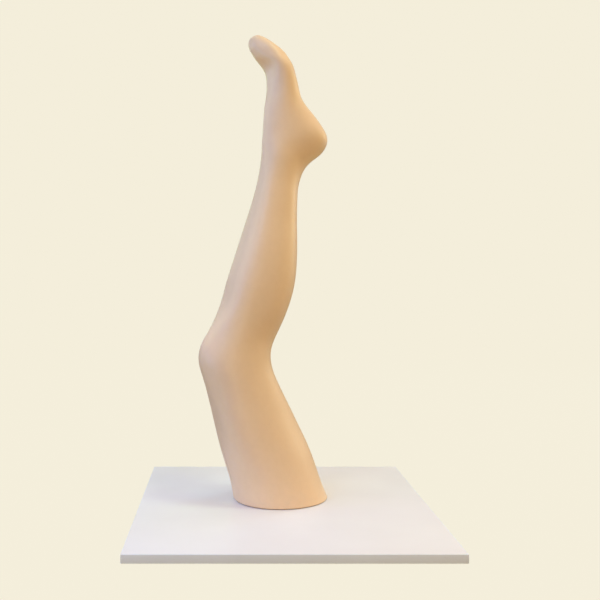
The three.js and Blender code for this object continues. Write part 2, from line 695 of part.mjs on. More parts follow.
for (let i = 0; i < 4; i++) {
  const s = mesh(`socket_flange_screw_${i + 1}`, screw(FLANGE_SCREW_LENGTH), zincPlate());
  s.position.set(...flangeScrewAt(i));
  leg.add(s);
}

// ---------------------------------------------------------------- assembly

const group = new THREE.Group();
group.add(base, swivel, leg);

export default group;
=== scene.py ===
# Hosiery leg display form on a white base board: the visual model round the
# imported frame. Metres, in the frame of the part.
import json
import math

import bmesh
import bpy
import numpy as np
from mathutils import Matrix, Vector

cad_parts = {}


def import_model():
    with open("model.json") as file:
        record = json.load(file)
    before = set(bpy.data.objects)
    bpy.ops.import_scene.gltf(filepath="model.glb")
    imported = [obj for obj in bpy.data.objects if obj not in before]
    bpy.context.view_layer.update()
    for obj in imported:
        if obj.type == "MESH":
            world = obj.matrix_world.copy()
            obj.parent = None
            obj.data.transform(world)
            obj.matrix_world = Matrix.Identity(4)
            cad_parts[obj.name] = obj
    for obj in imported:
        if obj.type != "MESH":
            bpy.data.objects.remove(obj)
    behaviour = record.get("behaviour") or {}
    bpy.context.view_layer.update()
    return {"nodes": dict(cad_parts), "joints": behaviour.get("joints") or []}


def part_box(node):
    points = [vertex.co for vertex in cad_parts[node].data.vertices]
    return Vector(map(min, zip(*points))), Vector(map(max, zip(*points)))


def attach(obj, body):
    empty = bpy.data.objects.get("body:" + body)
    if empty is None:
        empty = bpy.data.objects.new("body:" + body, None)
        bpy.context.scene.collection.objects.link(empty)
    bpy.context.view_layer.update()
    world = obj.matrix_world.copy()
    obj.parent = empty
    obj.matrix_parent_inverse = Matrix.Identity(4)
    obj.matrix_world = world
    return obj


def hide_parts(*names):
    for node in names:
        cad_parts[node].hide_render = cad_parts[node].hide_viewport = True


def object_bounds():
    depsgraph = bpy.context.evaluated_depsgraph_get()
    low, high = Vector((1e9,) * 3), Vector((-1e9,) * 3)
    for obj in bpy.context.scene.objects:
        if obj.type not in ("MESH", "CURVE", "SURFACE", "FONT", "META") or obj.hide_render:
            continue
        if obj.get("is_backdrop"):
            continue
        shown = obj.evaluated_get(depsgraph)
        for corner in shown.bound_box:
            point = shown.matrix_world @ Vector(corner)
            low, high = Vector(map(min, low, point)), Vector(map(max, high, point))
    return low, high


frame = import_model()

SCENE = bpy.context.scene
MM = 0.001

# ------------------------------------------------------------------ places
JOINTS = {j["name"]: j for j in frame["joints"]}
AXIS_X, AXIS_Y, _ = JOINTS["leg_swivel"]["pos_m"]
TOP_LO, TOP_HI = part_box("base_top_laminate")
BOT_LO, BOT_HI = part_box("base_bottom_laminate")
BOARD_TOP = TOP_HI.z
BOARD_BOTTOM = BOT_LO.z
RIM_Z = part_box("leg_shell_outer")[0].z
YAW = math.radians(18.0)
WALL = 3.0 * MM

# ------------------------------------------------------------------ camera
cam_data = bpy.data.cameras.new("camera")
cam_data.sensor_width = 36.0
cam_data.lens = 46.637
cam_data.shift_x = 0.11567
cam_data.shift_y = -0.04883
cam_data.clip_end = 50.0
cam = bpy.data.objects.new("camera", cam_data)
cam.location = (-0.0827, -1.22723, 0.38043)
cam.rotation_euler = (math.radians(90), 0, 0)
SCENE.collection.objects.link(cam)
SCENE.camera = cam

# ------------------------------------------------------------------ node helpers


class Nodes:
    """A short way to write a material's node tree."""

    def __init__(self, name):
        self.mat = bpy.data.materials.new(name)
        self.mat.use_nodes = True
        self.tree = self.mat.node_tree
        self.bsdf = self.tree.nodes["Principled BSDF"]
        self.coords = None

    def add(self, kind, **props):
        n = self.tree.nodes.new(kind)
        for k, v in props.items():
            setattr(n, k, v)
        return n

    def link(self, a, b):
        self.tree.links.new(a, b)
        return a

    def place(self, scale=(1, 1, 1), turn=(0, 0, 0)):
        if self.coords is None:
            self.coords = self.add("ShaderNodeTexCoord").outputs["Object"]
        m = self.add("ShaderNodeMapping")
        m.inputs["Scale"].default_value = scale
        m.inputs["Rotation"].default_value = turn
        self.link(self.coords, m.inputs["Vector"])
        return m.outputs["Vector"]

    def noise(self, scale, detail=2.0, rough=0.5, stretch=(1, 1, 1), turn=(0, 0, 0), distort=0.0):
        n = self.add("ShaderNodeTexNoise")
        n.inputs["Scale"].default_value = scale
        n.inputs["Detail"].default_value = detail
        n.inputs["Roughness"].default_value = rough
        n.inputs["Distortion"].default_value = distort
        self.link(self.place(stretch, turn), n.inputs["Vector"])
        return n.outputs["Fac"]

    def cells(self, scale, stretch=(1, 1, 1), feature="F1"):
        n = self.add("ShaderNodeTexVoronoi", feature=feature)
        n.inputs["Scale"].default_value = scale
        self.link(self.place(stretch), n.inputs["Vector"])
        return n.outputs["Distance"]

    def wave(self, scale, distort=0.0, direction="Z", detail=2.0, turn=(0, 0, 0), stretch=(1, 1, 1), kind="BANDS"):
        n = self.add("ShaderNodeTexWave", wave_type=kind)
        if kind == "BANDS":
            n.bands_direction = direction
        else:
            n.rings_direction = direction
        n.inputs["Scale"].default_value = scale
        n.inputs["Distortion"].default_value = distort
        n.inputs["Detail"].default_value = detail
        self.link(self.place(stretch, turn), n.inputs["Vector"])
        return n.outputs["Fac"]

    def axis(self, which):
        s = self.add("ShaderNodeSeparateXYZ")
        self.link(self.place(), s.inputs[0])
        return s.outputs[which]

    def ramp(self, value, stops, smooth=False):
        r = self.add("ShaderNodeValToRGB")
        if smooth:
            r.color_ramp.interpolation = "EASE"
        e = r.color_ramp.elements
        while len(e) < len(stops):
            e.new(0.5)
        for k, (pos, col) in enumerate(stops):
            e[k].position = pos
            e[k].color = (*col, 1) if len(col) == 3 else col
        self.link(value, r.inputs["Fac"])
        return r.outputs["Color"]

    def span(self, value, a, b, lo, hi, clamp=True):
        m = self.add("ShaderNodeMapRange")
        m.clamp = clamp
        for k, v in zip(("From Min", "From Max", "To Min", "To Max"), (a, b, lo, hi)):
            m.inputs[k].default_value = v
        self.link(value, m.inputs["Value"])
        return m.outputs["Result"]

    def math(self, op, a, b=None):
        m = self.add("ShaderNodeMath", operation=op)
        for k, v in enumerate((a, b)):
            if v is None:
                continue
            if isinstance(v, (int, float)):
                m.inputs[k].default_value = v
            else:
                self.link(v, m.inputs[k])
        return m.outputs[0]

    def mix(self, fac, a, b, blend="MIX"):
        m = self.add("ShaderNodeMix", data_type="RGBA", blend_type=blend)
        for key, v in ((0, fac), (6, a), (7, b)):
            if isinstance(v, (int, float)):
                m.inputs[key].default_value = v
            elif isinstance(v, tuple):
                m.inputs[key].default_value = (*v, 1)
            else:
                self.link(v, m.inputs[key])
        return m.outputs[2]

    def base(self, colour):
        if isinstance(colour, tuple):
            self.bsdf.inputs["Base Color"].default_value = (*colour, 1)
        else:
            self.link(colour, self.bsdf.inputs["Base Color"])

    def rough(self, value):
        if isinstance(value, (int, float)):
            self.bsdf.inputs["Roughness"].default_value = value
        else:
            self.link(value, self.bsdf.inputs["Roughness"])

    def bump(self, *layers):
        """layers: (height socket, strength, distance in metres), stacked."""
        last = None
        for height, strength, distance in layers:
            b = self.add("ShaderNodeBump")
            b.inputs["Strength"].default_value = strength
            b.inputs["Distance"].default_value = distance
            self.link(height, b.inputs["Height"])
            if last is not None:
                self.link(last, b.inputs["Normal"])
            last = b.outputs["Normal"]
        self.link(last, self.bsdf.inputs["Normal"])

    def set(self, **values):
        for k, v in values.items():
            self.bsdf.inputs[k.replace("_", " ")].default_value = v
        return self.mat

# ------------------------------------------------------------------ materials


def skin_paint():
    """Satin skin-tone paint over a hand-finished moulding: cloudy tone, orange peel,
    a little handling shine, scuffs towards the rim."""
    n = Nodes("skin_paint")
    cloud = n.noise(5.5, 3.0, 0.55)
    tone = n.ramp(cloud, [(0.30, SKIN_A), (0.70, SKIN_B)])
    fleck = n.noise(95.0, 2.0, 0.6)
    tone = n.mix(n.span(fleck, 0.35, 0.65, 0.0, 0.05), tone, SKIN_DEEP)
    # dust and rubbing where the form is held and set down
    low = n.span(n.axis(2), RIM_Z, RIM_Z + 0.035, 1.0, 0.0)
    rubbed = n.math("MULTIPLY", low, n.span(n.noise(60.0, 4.0, 0.65), 0.48, 0.70, 0.0, 0.45))
    tone = n.mix(rubbed, tone, SKIN_RUB)
    speck = n.span(n.cells(38.0), 0.0, 0.035, 0.35, 0.0)
    tone = n.mix(speck, tone, SKIN_DEEP)
    # painted shade in the front parting line, low on the thigh, darkening the groove there
    across = n.math("SUBTRACT",
                    n.math("MULTIPLY", n.math("SUBTRACT", n.axis(0), AXIS_X), math.sin(YAW)),
                    n.math("MULTIPLY", n.math("SUBTRACT", n.axis(1), AXIS_Y), math.cos(YAW)))
    line = n.span(n.math("ABSOLUTE", across), 0.0004, 0.0014, 0.42, 0.0)
    line = n.math("MULTIPLY", line, n.span(n.axis(0), AXIS_X - 0.03, AXIS_X - 0.02, 1.0, 0.0))
    up = n.axis(2)
    line = n.math("MULTIPLY", line, n.span(up, RIM_Z + 0.024, RIM_Z + 0.044, 0.0, 1.0))
    line = n.math("MULTIPLY", line, n.span(up, RIM_Z + 0.058, RIM_Z + 0.086, 1.0, 0.0))
    tone = n.mix(line, tone, SKIN_PAINTED_SHADE)
    # painted contact shadow along the very edge of the rim, where it meets the board
    rim_contact_shade = n.span(n.axis(2), RIM_Z, RIM_Z + 0.0016, 0.72, 0.0)
    tone = n.mix(rim_contact_shade, tone, SKIN_PAINTED_SHADE)
    n.base(tone)
    smear = n.noise(11.0, 4.0, 0.6, stretch=(1, 1, 0.35), distort=0.4)
    n.rough(n.math("ADD", n.span(smear, 0.30, 0.70, SKIN_ROUGH - 0.04, SKIN_ROUGH + 0.05),
                   n.math("MULTIPLY", rubbed, 0.12)))
    n.bump((n.noise(210.0, 2.0, 0.5), 0.10, 0.0006),
           (n.noise(1100.0, 2.0, 0.6), 0.06, 0.0002),
           (n.noise(34.0, 2.0, 0.5, stretch=(1, 1, 0.5)), 0.05, 0.002))
    return n.set(IOR=1.47, Specular_IOR_Level=0.33)


def laminate():
    """White melamine: fine pearl texture, faint cloudiness, dust and wiping marks."""
    n = Nodes("white_laminate")
    tone = n.ramp(n.noise(7.0, 3.0, 0.5), [(0.3, WHITE_A), (0.7, WHITE_B)])
    dust = n.span(n.noise(420.0, 2.0, 0.7), 0.66, 0.80, 0.0, 0.10)
    tone = n.mix(dust, tone, (0.62, 0.58, 0.53))
    scuff = n.span(n.noise(16.0, 5.0, 0.7, stretch=(1, 3.5, 1), turn=(0, 0, 0.5)), 0.60, 0.78, 0.0, 0.05)
    tone = n.mix(scuff, tone, (0.55, 0.53, 0.50))
    n.base(tone)
    n.rough(n.span(n.noise(9.0, 4.0, 0.6, stretch=(1, 2.5, 1)), 0.3, 0.7, 0.40, 0.54))
    n.bump((n.cells(900.0), 0.10, 0.0002), (n.noise(2400.0, 2.0, 0.6), 0.06, 0.0001))
    return n.set(IOR=1.5, Specular_IOR_Level=0.4)


def edge_tape():
    """Edge banding: the board's white with a bluer tint that is painted light, standing in for cool light on the
    edges; fine planer marks.
    """
    n = Nodes("edge_band")
    tone = n.ramp(n.noise(12.0, 3.0, 0.55), [(0.3, EDGE_A), (0.7, EDGE_B)])
    tone = n.mix(n.span(n.noise(300.0, 3.0, 0.7), 0.62, 0.80, 0.0, 0.14), tone, (0.36, 0.34, 0.31))
    n.base(tone)
    n.rough(n.span(n.noise(40.0, 3.0, 0.6), 0.3, 0.7, 0.46, 0.60))
    n.bump((n.wave(900.0, 1.2, "DIAGONAL"), 0.03, 0.0001), (n.noise(900.0, 2.0, 0.6), 0.08, 0.0002))
    return n.set(IOR=1.48, Specular_IOR_Level=0.35)


def fibreboard():
    n = Nodes("board_core")
    tone = n.ramp(n.noise(140.0, 5.0, 0.7, stretch=(1, 1, 2.5)),
                  [(0.25, (0.30, 0.20, 0.115)), (0.55, (0.44, 0.31, 0.18)), (0.8, (0.55, 0.41, 0.26))])
    n.base(tone)
    n.rough(n.span(n.noise(200.0), 0.3, 0.7, 0.8, 0.95))
    n.bump((n.noise(700.0, 4.0, 0.7), 0.5, 0.0004))
    return n.set(IOR=1.45, Specular_IOR_Level=0.2)


def plywood():
    """Sanded birch ply: long face grain with flecks, and its plies on the edge."""
    n = Nodes("plywood")
    grain = n.noise(26.0, 5.0, 0.65, stretch=(0.35, 9.0, 1.0), turn=(0, 0, YAW), distort=0.6)
    face = n.ramp(grain, [(0.25, (0.47, 0.31, 0.165)), (0.5, (0.60, 0.43, 0.25)), (0.75, (0.68, 0.51, 0.32))])
    fleck = n.span(n.noise(180.0, 2.0, 0.5, stretch=(0.3, 4.0, 1.0), turn=(0, 0, YAW)), 0.62, 0.74, 0.0, 0.35)
    face = n.mix(fleck, face, (0.38, 0.24, 0.12))
    plies = n.wave(350.0, 0.15, "Z", 1.0)
    face = n.mix(n.span(plies, 0.45, 0.55, 0.0, 0.22), face, (0.36, 0.23, 0.12))
    n.base(face)
    n.rough(n.span(grain, 0.3, 0.7, 0.62, 0.8))
    n.bump((grain, 0.18, 0.0005), (n.noise(900.0, 3.0, 0.7), 0.15, 0.0002))
    return n.set(IOR=1.45, Specular_IOR_Level=0.25)


def glass_tape():
    """Resin-soaked glass tape: a coarse plain weave under a glossy coat."""
    n = Nodes("bonding_tape")
    warp = n.wave(210.0, 0.6, "Z", 1.0)
    weft = n.wave(210.0, 0.6, "X", 1.0)
    weave = n.math("MULTIPLY", warp, weft)
    n.base(n.ramp(weave, [(0.0, (0.46, 0.40, 0.24)), (0.6, (0.66, 0.61, 0.42))]))
    n.rough(n.span(n.noise(30.0, 3.0, 0.6), 0.3, 0.7, 0.25, 0.6))
    n.bump((weave, 0.5, 0.0006), (n.noise(60.0, 3.0, 0.6), 0.4, 0.001))
    return n.set(IOR=1.52)


def metal(name, tone_a, tone_b, rough_a, rough_b, turned=False):
    """Steel: drawn or turned marks, a cloudy tone and small stains."""
    n = Nodes(name)
    n.base(n.ramp(n.noise(70.0, 4.0, 0.6), [(0.3, tone_a), (0.7, tone_b)]))
    if turned:
        marks = n.wave(1500.0, 0.8, "Z", 2.0)
    else:
        marks = n.noise(420.0, 3.0, 0.6, stretch=(1, 12, 1))
    n.rough(n.math("ADD", n.span(marks, 0.2, 0.8, rough_a, rough_b),
                   n.span(n.noise(40.0, 4.0, 0.65), 0.5, 0.8, 0.0, 0.12)))
    n.bump((marks, 0.08, 0.0001), (n.noise(300.0, 3.0, 0.6), 0.06, 0.0002))
    return n.set(Metallic=1.0)


def moulded_nylon():
    n = Nodes("nylon")
    n.base(n.ramp(n.noise(45.0, 3.0, 0.6), [(0.3, (0.72, 0.69, 0.60)), (0.7, (0.80, 0.78, 0.70))]))
    n.rough(n.span(n.noise(90.0, 3.0, 0.6), 0.3, 0.7, 0.34, 0.5))
    n.bump((n.noise(800.0, 3.0, 0.6), 0.08, 0.0002))
    return n.set(IOR=1.53)


def pad_rubber():
    n = Nodes("pad_rubber")
    tone = n.ramp(n.noise(160.0, 4.0, 0.7), [(0.3, (0.014, 0.014, 0.015)), (0.75, (0.032, 0.031, 0.030))])
    tone = n.mix(n.span(n.noise(500.0, 3.0, 0.7), 0.60, 0.80, 0.0, 0.25), tone, (0.16, 0.15, 0.13))
    n.base(tone)
    n.rough(n.span(n.noise(120.0, 3.0, 0.6), 0.3, 0.7, 0.72, 0.9))
    n.bump((n.noise(1200.0, 3.0, 0.7), 0.3, 0.0003))
    return n.set(IOR=1.5, Specular_IOR_Level=0.3)


SKIN_A = (0.884, 0.628, 0.396)
SKIN_B = (0.937, 0.674, 0.437)
SKIN_DEEP = (0.609, 0.388, 0.207)
SKIN_RUB = (0.796, 0.599, 0.414)
# painted shade, used for the parting-line groove and for the rim's contact with the board
SKIN_PAINTED_SHADE = (0.20, 0.105, 0.055)
SKIN_ROUGH = 0.40
WHITE_A = (0.80, 0.775, 0.765)
WHITE_B = (0.84, 0.820, 0.812)
# edge tone: painted light, fitted bluer than the top white to stand in for the cool light on the edges
EDGE_A = (0.788, 0.814, 0.842)
EDGE_B = (0.834, 0.862, 0.893)

M_SKIN = skin_paint()
M_WHITE = laminate()
M_EDGE = edge_tape()
M_CORE = fibreboard()
M_PLY = plywood()
M_TAPE = glass_tape()
M_ROD = metal("steel", (0.50, 0.50, 0.51), (0.62, 0.62, 0.62), 0.20, 0.34, turned=True)
M_ZINC = metal("zinc_steel", (0.56, 0.57, 0.58), (0.68, 0.69, 0.69), 0.26, 0.42)
M_NYLON = moulded_nylon()
M_PAD = pad_rubber()

# ------------------------------------------------------------------ mesh helpers


def shade(me, degrees=32):
    """Smooth faces, with sharp edges where the surface really turns a corner."""
    bm = bmesh.new()
    bm.from_mesh(me)
    bmesh.ops.recalc_face_normals(bm, faces=bm.faces)
    limit = math.radians(degrees)
    for f in bm.faces:
        f.smooth = True
    for e in bm.edges:
        if len(e.link_faces) == 2:
            e.smooth = e.calc_face_angle(0) < limit
    bm.to_mesh(me)
    bm.free()
    me.update()


def piece(name, me, mat, body, node, degrees=32):
    """A finished piece: shaded, coloured, riding on its body and standing for its CAD node."""
    if degrees:
        shade(me, degrees)
    me.materials.clear()
    me.materials.append(mat)
    ob = bpy.data.objects.new(name, me)
    SCENE.collection.objects.link(ob)
    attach(ob, body)
    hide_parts(node)
    return ob


def from_bm(bm, name):
    me = bpy.data.meshes.new(name)
    bm.to_mesh(me)
    bm.free()
    return me


def lathe(name, profile, segments=96, centre=(0, 0, 0)):
    """Closed turned piece about Z from (radius, z) pairs in millimetres. A profile that
    doesn't start and end on the axis closes on itself."""
    bm = bmesh.new()
    rings = []
    for r, z in profile:
        z = centre[2] + z * MM
        if r < 1e-6:
            rings.append([bm.verts.new((centre[0], centre[1], z))])
        else:
            rings.append([
                bm.verts.new((centre[0] + r * MM * math.cos(2 * math.pi * k / segments),
                              centre[1] + r * MM * math.sin(2 * math.pi * k / segments), z))
                for k in range(segments)])
    pairs = list(zip(rings, rings[1:]))
    if len(rings[0]) > 1 and len(rings[-1]) > 1:
        pairs.append((rings[-1], rings[0]))
    for a, b in pairs:
        for k in range(segments):
            j = (k + 1) % segments
            if len(a) == 1 and len(b) == 1:
                continue
            if len(a) == 1:
                bm.faces.new((a[0], b[j], b[k]))
            elif len(b) == 1:
                bm.faces.new((a[k], a[j], b[0]))
            else:
                bm.faces.new((a[k], a[j], b[j], b[k]))
    bmesh.ops.recalc_face_normals(bm, faces=bm.faces)
    return from_bm(bm, name)


def rounded(points, radius, steps=4):
    """Profile with its corners rounded: points are (r, z) or (r, z, radius)."""
    out = []
    n = len(points)
    for i, p in enumerate(points):
        rad = p[2] if len(p) > 2 else radius
        if i in (0, n - 1) or rad <= 0:
            out.append((p[0], p[1]))
            continue
        a, b, c = (Vector(points[i - 1][:2]), Vector(p[:2]), Vector(points[i + 1][:2]))
        u, v = (a - b), (c - b)
        k = min(rad, u.length * 0.45, v.length * 0.45)
        u, v = b + u.normalized() * k, b + v.normalized() * k
        for s in range(steps + 1):
            t = s / steps
            q = u.lerp(b, t).lerp(b.lerp(v, t), t)
            out.append((q.x, q.y))
    return out


def subtract(me, *cutters):
    """Mesh minus each cutter mesh, made with the exact boolean and applied."""
    ob = bpy.data.objects.new("work", me)
    SCENE.collection.objects.link(ob)
    tools = []
    for k, cutter in enumerate(cutters):
        tool = bpy.data.objects.new(f"cutter{k}", cutter)
        SCENE.collection.objects.link(tool)
        tools.append(tool)
        mod = ob.modifiers.new(f"cut{k}", "BOOLEAN")
        mod.operation = "DIFFERENCE"
        mod.solver = "EXACT"
        mod.object = tool
    bpy.context.view_layer.update()
    dg = bpy.context.evaluated_depsgraph_get()
    out = bpy.data.meshes.new_from_object(ob.evaluated_get(dg))
    for o in [ob, *tools]:
        old = o.data
        bpy.data.objects.remove(o)
        if old.users == 0:
            bpy.data.meshes.remove(old)
    bm = bmesh.new()
    bm.from_mesh(out)
    bmesh.ops.remove_doubles(bm, verts=bm.verts, dist=1e-6)
    bmesh.ops.dissolve_degenerate(bm, edges=bm.edges, dist=1e-6)
    bm.to_mesh(out)
    bm.free()
    return out


def block(name, lo, hi, wide=(), wide_r=0.7, fine_r=0.12):
    """Box between two corners with every edge eased. wide is a list of (axis, side, axis,
    side) edges that get the larger radius, such as (1, -1, 2, 1) for the front top edge."""
    lo, hi = Vector(lo), Vector(hi)
    bm = bmesh.new()
    bmesh.ops.create_cube(bm, size=1.0)
    size, mid = hi - lo, (hi + lo) / 2
    for v in bm.verts:
        v.co = Vector((mid[k] + v.co[k] * size[k] for k in range(3)))
    bm.verts.ensure_lookup_table()

    def on(e, a, sa):
        target = (hi if sa > 0 else lo)[a]
        return all(abs(v.co[a] - target) < 1e-7 for v in e.verts)

    picked = [e for e in bm.edges if any(on(e, a, sa) and on(e, b, sb) for a, sa, b, sb in wide)]
    if picked:
        bmesh.ops.bevel(bm, geom=picked, offset=wide_r * MM, segments=5, profile=0.5, affect="EDGES")
    sharp = [e for e in bm.edges if len(e.link_faces) == 2 and e.calc_face_angle(0) > math.radians(50)]
    if sharp:
        bmesh.ops.bevel(bm, geom=sharp, offset=fine_r * MM, segments=2, profile=0.5, affect="EDGES")
    bmesh.ops.recalc_face_normals(bm, faces=bm.faces)
    return from_bm(bm, name)

# ------------------------------------------------------------------ leg surface
# Sections of the leg in millimetres, thigh rim to toe: front point (u, z), rear
# point (u, z), outer and inner half width, fullness towards the front, squareness of
# front and rear, sideways shift. The same form as the frame's shells.
SECTIONS = np.array([
    (-76.3, 0.0, 75.8, 0.0, 70.5, 71.5, 0.00, 0.010, 0.010, 0.0),
    (-83.0, 33.4, 65.2, 25.6, 70.1, 71.1, 0.05, 0.011, 0.006, 0.0),
    (-96.1, 78.8, 48.1, 74.7, 65.8, 67.2, 0.12, 0.039, -0.016, 0.0),
    (-105.5, 123.8, 25.9, 121.9, 60.0, 62.2, 0.20, 0.073, -0.041, 0.0),
    (-117.9, 165.2, 6.9, 158.9, 55.5, 58.2, 0.18, 0.032, -0.010, 0.0),
    (-128.5, 197.0, -8.5, 188.8, 52.6, 54.8, 0.14, -0.008, 0.026, 0.0),
    (-136.3, 222.4, -17.9, 211.8, 50.0, 51.7, 0.09, -0.005, 0.035, 0.0),
    (-134.9, 245.8, -20.0, 231.4, 48.0, 49.7, 0.09, -0.014, 0.032, 0.0),
    (-122.6, 267.1, -15.6, 249.1, 46.0, 47.7, 0.12, -0.044, 0.013, 0.0),
    (-107.5, 289.9, -6.1, 269.8, 45.7, 47.7, 0.14, 0.018, 0.024, 0.0),
    (-93.1, 317.3, 5.2, 295.9, 48.5, 50.9, 0.14, 0.098, 0.040, 0.0),
    (-83.5, 350.6, 16.7, 328.3, 50.8, 53.0, 0.14, 0.099, 0.023, 0.0),
    (-72.7, 384.1, 23.8, 363.9, 50.3, 52.6, 0.14, 0.101, 0.001, 0.0),
    (-61.6, 419.2, 26.0, 401.3, 46.5, 48.7, 0.15, 0.089, 0.014, 0.0),
    (-51.6, 451.7, 26.3, 437.1, 40.4, 42.1, 0.17, 0.079, 0.025, 0.0),
    (-42.0, 482.5, 27.1, 471.3, 35.1, 36.1, 0.18, 0.085, 0.013, 0.0),
    (-35.0, 510.0, 30.0, 500.7, 31.2, 31.6, 0.19, 0.091, 0.006, 0.0),
    (-32.3, 533.1, 38.8, 525.5, 30.8, 30.8, 0.17, 0.037, 0.026, 0.0),
    (-30.9, 552.6, 53.5, 543.1, 31.7, 31.3, 0.27, -0.033, 0.021, 0.0),
    (-30.4, 570.5, 74.4, 559.2, 32.4, 31.5, 0.21, -0.027, 0.037, 0.0),
    (-29.5, 586.7, 82.0, 578.9, 32.1, 31.1, 0.12, -0.008, 0.042, 0.0),
    (-28.6, 601.2, 72.7, 597.8, 30.4, 29.6, 0.16, -0.018, 0.026, 0.0),
    (-27.4, 615.8, 59.9, 615.0, 29.6, 29.1, 0.16, -0.038, 0.014, 0.0),
    (-26.1, 630.5, 44.5, 632.1, 29.6, 29.2, 0.13, -0.054, -0.000, 0.0),
    (-23.2, 646.7, 33.7, 647.7, 30.3, 30.1, 0.09, -0.058, -0.006, 0.0),
    (-21.8, 661.4, 28.6, 665.1, 31.0, 30.8, 0.07, -0.034, -0.001, 0.0),
    (-20.6, 676.2, 23.7, 680.9, 32.1, 32.6, 0.07, 0.013, 0.001, 0.0),
    (-21.7, 689.6, 17.8, 696.5, 32.9, 34.0, 0.03, 0.075, 0.047, -0.5),
    (-28.7, 699.5, 9.8, 710.0, 31.7, 34.0, -0.02, 0.079, 0.056, -1.5),
    (-38.1, 707.2, 2.2, 719.8, 29.9, 33.5, -0.06, 0.023, 0.040, -3.0),
    (-44.0, 715.8, -11.8, 730.2, 25.9, 30.6, -0.05, 0.036, 0.046, -5.0),
    (-48.0, 723.6, -20.4, 737.1, 21.1, 25.7, -0.04, 0.043, 0.043, -7.5),
    (-49.1, 731.2, -35.3, 745.0, 14.8, 18.3, -0.01, 0.026, 0.019, -10.0),
    (-48.5, 735.8, -45.6, 742.3, 5.8, 7.3, -0.01, -0.004, -0.001, -12.0),
])
# Local swellings: section, spread, angle (0 front, 90 outer, 180 rear), narrowness, height.
FORMS = [
    (11.9, 2.3, 228, 3.0, 2.6),
    (11.2, 2.0, 135, 3.0, 1.8),
    (17.1, 1.1, 132, 7.0, -2.6),
    (17.1, 1.1, 228, 7.0, -2.6),
    (18.35, 1.0, 97, 7.0, 0.9),
    (18.75, 1.0, 258, 7.0, 1.1),
    (24.2, 1.9, 243, 4.0, -3.2),
    (6.9, 0.9, 38, 9.0, -1.4),
    (6.9, 0.9, 322, 9.0, -1.4),
    (8.6, 0.9, 0, 10.0, -0.8),
    (17.4, 1.2, 138, 5.0, -0.31),
    (20.7, 1.2, 128, 4.0, 2.98),
    (18.6, 0.8, 95, 7.0, -1.88),
    (22.0, 1.5, 110, 4.0, 1.54),
    (7.0, 1.0, 40, 6.0, -2.85),
    (8.8, 1.2, 60, 5.0, 1.89),
    (12, 2.5, 120, 3.0, -2.59),
    (30, 1.5, 60, 8.0, -3.19),
    (28, 1.5, 120, 8.0, -4.54),
    (19.5, 1.0, 150, 6.0, -2.48),
    (16, 1.2, 110, 5.0, 0.44),
    (20.7, 1.2, 232, 4.0, 2.38),
    (18.6, 0.8, 265, 7.0, -1.5),
    (22.0, 1.5, 250, 4.0, 1.23),
    (7.0, 1.0, 320, 6.0, -2.28),
    (8.8, 1.2, 300, 5.0, 1.51),
    (12, 2.5, 240, 3.0, -2.07),
    (30, 1.5, 300, 8.0, -2.55),
    (28, 1.5, 240, 8.0, -3.63),
    (19.5, 1.0, 210, 6.0, -1.98),
    (16, 1.2, 250, 5.0, 0.36),
]
LAST = len(SECTIONS) - 1


def natural_spline(values, t):
    """Natural cubic spline through rows of values at 0, 1, 2 ..., sampled at t."""
    n = len(values)
    m = np.zeros_like(values)
    c = np.zeros(n)
    d = np.zeros_like(values)
    for i in range(1, n - 1):
        w = 4 - c[i - 1]
        c[i] = 1 / w
        d[i] = (6 * (values[i - 1] - 2 * values[i] + values[i + 1]) - d[i - 1]) / w
    for i in range(n - 2, 0, -1):
        m[i] = d[i] - c[i] * m[i + 1]
    i = np.clip(np.floor(t).astype(int), 0, n - 2)
    b = (t - i)[:, None]
    a = 1 - b
    return a * values[i] + b * values[i + 1] + ((a**3 - a) * m[i] + (b**3 - b) * m[i + 1]) / 6


def surface(t, angle):
    """(u, v, z) of the outer surface, arrays t along by angle round, in millimetres."""
    k = natural_spline(SECTIONS, np.asarray(t, float))
    uF, zF, uB, zB, w_out, w_in, full, sqF, sqB, shift = [k[:, i][:, None] for i in range(10)]
    th = np.asarray(angle, float)[None, :]
    depth = np.hypot(uF - uB, zF - zB) / 2
    fu, fz = (uF - uB) / (2 * depth), (zF - zB) / (2 * depth)
    c, s = np.cos(th), np.sin(th)
    corner = 1 + np.sin(2 * th) ** 2 * (sqF * (1 + c) / 2 + sqB * (1 - c) / 2)
    x = (depth * c + full * depth * s * s) * corner
    v = ((w_out + w_in) / 2 * s + (w_out - w_in) / 2 * s * s) * corner
    tt = np.asarray(t, float)[:, None]
    for t0, spread, degrees, narrow, height in FORMS:
        g = height * np.exp(-(((tt - t0) / spread) ** 2)) * np.exp(
            narrow * (np.cos(th - math.radians(degrees)) - 1))
        r = np.hypot(x, v) + 1e-9
        x, v = x * (1 + g / r), v * (1 + g / r)
    return np.stack([(uF + uB) / 2 + x * fu, shift + v, (zF + zB) / 2 + x * fz], -1)


def middles(t):
    k = natural_spline(SECTIONS, np.asarray(t, float))
    return np.stack([(k[:, 0] + k[:, 2]) / 2, k[:, 9], (k[:, 1] + k[:, 3]) / 2], -1)


def normals(t, angle):
    e = 1e-3
    t = np.asarray(t, float)
    along = surface(np.minimum(t + e, LAST), angle) - surface(np.maximum(t - e, 0), angle)
    ang = np.asarray(angle, float)
    around = surface(t, ang + e) - surface(t, ang - e)
    n = np.cross(along, around)
    n /= np.linalg.norm(n, axis=-1, keepdims=True)
    out = surface(t, ang) - middles(t)[:, None, :]
    n *= np.where((n * out).sum(-1, keepdims=True) < 0, -1, 1)
    return n


def world(p):
    """Leg (u, v, z) in millimetres to the part's frame in metres."""
    c, s = math.cos(YAW), math.sin(YAW)
    u, v, z = p[..., 0] * MM, p[..., 1] * MM, p[..., 2] * MM
    return np.stack([AXIS_X + u * c + v * s, AXIS_Y + u * s - v * c, RIM_Z + z], -1)


